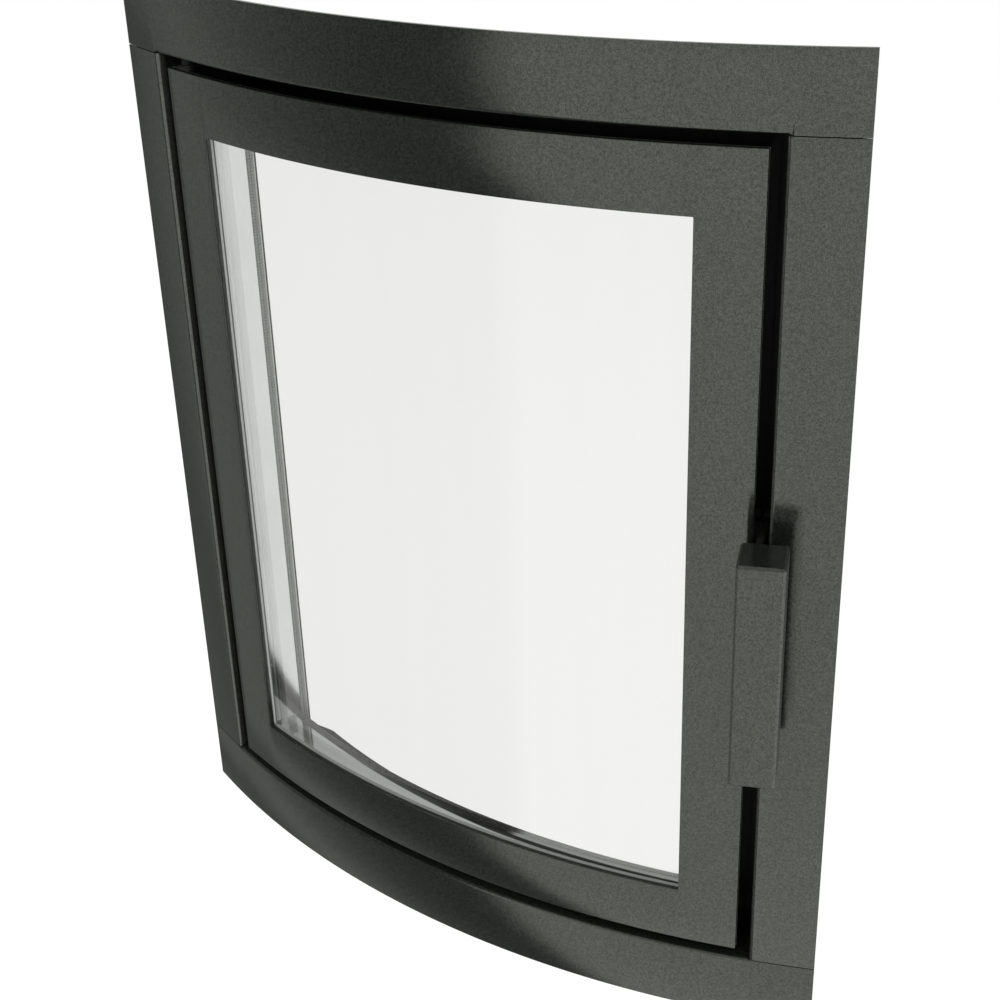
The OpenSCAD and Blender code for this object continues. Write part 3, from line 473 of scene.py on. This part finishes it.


# ---- Door face ----
# One rolled plate, 3.5 mm thick, with the window for the glass cut out of it.  Same paint,
# rougher on the cut edge round the glass, and darkened there by painted shade, most low down.

FACE_OUTER = (-17.4274, 17.8595, -0.2476, 0.2511)
GLASS_WINDOW = (-14.2731, 14.7052, -0.2106, 0.2146)
FACE_T = 0.0035
FACE_EDGE = 0.0004


def ring(name, outer, inner, depth, thickness, edge, rounds=2, **columns):
    """Outer and inner give the left and right turn in degrees, then the lower and upper z."""
    sheet = rolled(name, outer[0], outer[1], outer[2], outer[3], depth, **columns)
    slit(angle=inner[0])
    slit(angle=inner[1])
    slit(z=inner[2])
    slit(z=inner[3])
    bpy.ops.object.mode_set(mode="EDIT")
    bpy.ops.mesh.select_mode(type="FACE")
    bpy.ops.mesh.select_all(action="DESELECT")
    shape = bmesh.from_edit_mesh(sheet.data)
    for face in shape.faces:
        middle = face.calc_center_median()
        if inner[0] < turn_of(middle) < inner[1] and inner[2] < middle.z < inner[3]:
            face.select_set(True)
    bmesh.update_edit_mesh(sheet.data)
    bpy.ops.mesh.delete(type="FACE")
    thicken(sheet, thickness, edge, rounds)
    return sheet


face = ring("door_face_sheet", FACE_OUTER, GLASS_WINDOW, 0.0, FACE_T, FACE_EDGE)
face.data.materials.append(door_charcoal)
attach(face, "door")
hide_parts("door_face")


# ---- Door channel and glass retainers ----
# Folded aluminised sheet, left bright: four lengths of channel round the back of the door, and
# four angles that hold the pane, each with its screws.  Painted shade darkens the rear edge of
# the bottom length, in the gap where it meets the rope.

SHADE_BELOW_Z = -0.2350
SHADE_DEPTH = 0.0356
SHADE_SLANT = 0.0406
SHADE_SLANT_X = 0.02
SHADE_NARROWS = 0.0065

bright, mix = new_finish("bright_steel")
place = mix.on_object()
rolling = place.mapped("Scale", (1.0, 1.0, 0.04)).noise(500.0, 3.0)
blotch = place.noise(35.0, 3.0)
inset = behind_front(place)
# A dark band of painted shade along the rear edge of the bottom length, lifted a little on the
# right.
rim = ((SHADE_SLANT_X - place.part(0)) * SHADE_SLANT).clamped(0.0, SHADE_NARROWS)
painted_shade_weight = ((inset - rim - SHADE_DEPTH) * 1250).clamped(0.0, 1.0)
shade_lift = (inset * 20).toned((0.782, 0.0), (0.798, 0.7))
low = ((place.part(2) - SHADE_BELOW_Z) * -1600).clamped(0.0, 1.0)
along = (place.part(0) + 0.5).toned((0.3, 0.55), (0.42, 0.86), (0.5, 1.0))
right = (place.part(0) + 0.5).toned((0.530, 0.0), (0.536, 1.0))
gap_shade = low * along * painted_shade_weight * (1 - shade_lift * right)
surface(bright, mix.make("ShaderNodeBsdfPrincipled", (), {
    "Base Color": gap_shade.tinted(blotch.tinted((0.74, 0.76, 0.74, 1), (0.84, 0.86, 0.84, 1)),
                               (0.02, 0.021, 0.019, 1)),
    "Metallic": 1.0, "Roughness": 0.08 + 0.06 * rolling,
    "Normal": rolling.bump(0.02, 0.0002)}))
coat(bright, "door_channel_left", "door_channel_right", "door_channel_top",
     "door_channel_bottom", "retainer_left", "retainer_right", "retainer_top",
     "retainer_bottom", "retainer_screws")


# ---- Pane ----
# Clear ceramic glass, 4 mm thick, bent to the front's curve, its edges ground.  It lies between
# two tapes, and the retainers hold it from behind.

PANE_LEFT_A, PANE_RIGHT_A = -15.8287, 16.2608
PANE_Z0, PANE_Z1 = -0.2286, 0.2326
PANE_DEPTH = 0.0065
PANE_T = 0.004
PANE_EDGE = 0.0005

glass, mix = new_finish("door_glass")
ripple = mix.on_object().mapped("Scale", (1.0, 1.0, 0.02)).noise(90.0, 2.0)
surface(glass, mix.make("ShaderNodeBsdfPrincipled", (), {
    "Base Color": ripple.tinted((0.832, 0.836, 0.816, 1), (0.850, 0.854, 0.834, 1)),
    "Roughness": 0.0, "IOR": 1.5, "Transmission Weight": 1.0}))
pane = rolled("curved_pane", PANE_LEFT_A, PANE_RIGHT_A, PANE_Z0, PANE_Z1, PANE_DEPTH)
thicken(pane, PANE_T, PANE_EDGE, 1)
pane.data.materials.append(glass)
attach(pane, "door")
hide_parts("glass_pane")


# ---- Glass tapes ----
# Grey woven glass tape in front of the pane's edge and behind it, squeezed flat.  The front
# tape's foremost edge is painted light, a painted highlight, but not along the bottom, where
# the tape is painted one flat grey as painted shade.

FRONT_TAPE_OUTER = (-15.1421, 15.5742, -0.2206, 0.2246)
REAR_TAPE_OUTER = (-15.8371, 16.2692, -0.2286, 0.2326)
REAR_TAPE_INNER = (-15.3101, 15.7422, -0.2226, 0.2266)
FRONT_TAPE_DEPTH, FRONT_TAPE_T = 0.00365, 0.0027
REAR_TAPE_DEPTH, REAR_TAPE_T = 0.01065, 0.0017
TAPE_EDGE = 0.0006
TAPE_THREADS = 5200
BOTTOM_TAPE_Z = -0.2086

tape, mix = new_finish("tape_gasket")
place = mix.on_object()
away = off_axis(place)
across = away.part(0).maths("ARCTAN2", away.part(1)) * FRONT_R
warp = (across * TAPE_THREADS).maths("SINE")
weft = (away.part(2) * TAPE_THREADS).maths("SINE")
weave = warp * weft * 0.5 + 0.5
# The tape's foremost edge is painted light, a painted highlight.
light_front_edge = (behind_front(place) * 100).toned((0.48, 1.0), (0.54, 0.0))
threads = light_front_edge.tinted(weave.tinted((0.10, 0.105, 0.10, 1), (0.18, 0.19, 0.18, 1)),
                        (0.72, 0.73, 0.70, 1))
# Along the bottom the tape is one flat grey, painted shade.
shaded_bottom = ((place.part(2) - BOTTOM_TAPE_Z) * -500).clamped(0.0, 1.0)
surface(tape, mix.make("ShaderNodeBsdfPrincipled", (), {
    "Base Color": shaded_bottom.tinted(threads, (0.25, 0.26, 0.24, 1)),
    "Roughness": 0.85, "Normal": weave.bump(0.4, 0.0002)}))
for name, node, outer, inner, depth, thickness in (
        ("front_glass_tape", "glass_front_tape", FRONT_TAPE_OUTER, GLASS_WINDOW,
         FRONT_TAPE_DEPTH, FRONT_TAPE_T),
        ("rear_glass_tape", "glass_rear_tape", REAR_TAPE_OUTER, REAR_TAPE_INNER,
         REAR_TAPE_DEPTH, REAR_TAPE_T)):
    strip = ring(name, outer, inner, depth, thickness, TAPE_EDGE)
    strip.data.materials.append(tape)
    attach(strip, "door")
    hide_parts(node)


# ---- Rope seal ----
# Grey knitted glass rope pressed into the channel all round, its crown standing out behind.
# Its lower run is painted dark, most of all left of the middle: a painted reflection.

SEAL_OUTER = (-17.2620, 17.6941, -0.2458, 0.2493)
SEAL_INNER = (-16.5358, 16.9679, -0.2379, 0.2414)
SEAL_DEPTH = 0.03965
SEAL_T = 0.0105
SEAL_EDGE = 0.0016
STRANDS = 1500
LOWER_RUN_WIDTH = 0.36

rope, mix = new_finish("rope_gasket")
place = mix.on_object()
away = off_axis(place)
across = away.part(0).maths("ARCTAN2", away.part(1)) * FRONT_R
inward = away.level_length()
one_way = ((away.part(2) + across + inward) * STRANDS).maths("SINE")
other_way = ((away.part(2) - across - inward) * STRANDS).maths("SINE")
plait = one_way * other_way * 0.5 + 0.5
fluff = place.noise(700.0, 3.0)
# The lower run's tone along its length, a painted dark reflection.
lower_run = (place.part(0) / LOWER_RUN_WIDTH + 0.5).toned(
    (0.0, 0.35), (0.089, 0.27), (0.3, 0.04), (0.547, 0.03), (0.585, 0.04), (0.61, 0.88),
    (1.0, 0.88))
aloft = (place.part(2) * 50 + 11.85).clamped(0.0, 1.0)
lit_share = aloft + (1 - aloft) * lower_run
# The crown of the side and top runs is painted lighter, a painted highlight.
crown = ((FRONT_R - inward) * 20).toned((0.955, 0.0), (0.985, 1.0)) * aloft
threads = ((0.35 + 0.4 * plait + 0.25 * fluff) * lit_share).tinted(
    (0.012, 0.0125, 0.0115, 1), (0.585, 0.605, 0.565, 1))
surface(rope, mix.make("ShaderNodeBsdfPrincipled", (), {
    "Base Color": crown.tinted(threads, (0.85, 0.87, 0.83, 1)),
    "Roughness": 0.9, "Normal": (plait + 0.4 * fluff).bump(0.8, 0.0006)}))
seal = ring("plaited_seal", SEAL_OUTER, SEAL_INNER, SEAL_DEPTH, SEAL_T, SEAL_EDGE, 4,
            columns=360, turned=0.2)
seal.data.materials.append(rope)
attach(seal, "door")
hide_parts("door_seal_rope")


# ---- Latch ----
# A hooked lever on a stud in the right channel, with a spacer, an open clip and a stop pin.
# Its foot stands out through the gap and carries the handle; the lever is painted as the front.

coat(oxide, "latch_stud", "latch_clip", "latch_spacer", "lever_stop", "handle_screws")
coat(zinc, "latch_block")
coat(charcoal, "latch_lever")


# ---- Handle ----
# A solid bar, nearly square and 139 mm long, screwed to the lever's foot from behind and
# turned a little to the right.  Its edges are planed off at 45 degrees.

LATCH_A = math.radians(18.2311)
HANDLE_TURN = math.radians(3.5)
HANDLE = (0.026, 0.028, 0.139)
HANDLE_Z = -0.0252
FOOT_ASIDE = 0.0045
STAND_OFF = 0.014
PLANED = 0.0014
ASIDE = FOOT_ASIDE + HANDLE[1] / 2 * math.sin(HANDLE_TURN)
OUT = FRONT_R + STAND_OFF + HANDLE[1] / 2 * math.cos(HANDLE_TURN)
bpy.ops.object.select_all(action="DESELECT")
bpy.ops.mesh.primitive_cube_add(
    size=1, rotation=(0, 0, LATCH_A + HANDLE_TURN),
    location=(ASIDE * math.cos(LATCH_A) + OUT * math.sin(LATCH_A),
              ASIDE * math.sin(LATCH_A) - OUT * math.cos(LATCH_A) + AXIS_Y, HANDLE_Z))
bar = bpy.context.object
bar.name = "handle_block"
bar.scale = HANDLE
bpy.ops.object.transform_apply(location=True, rotation=True, scale=True)
ease = bar.modifiers.new("ease", "BEVEL")
ease.width = PLANED
ease.segments = 1
bpy.ops.object.modifier_apply(modifier=ease.name)
bpy.ops.object.shade_smooth_by_angle(angle=SMOOTH_BELOW)
bar.data.materials.append(charcoal)
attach(bar, "latch_handle")
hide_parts("handle_bar")
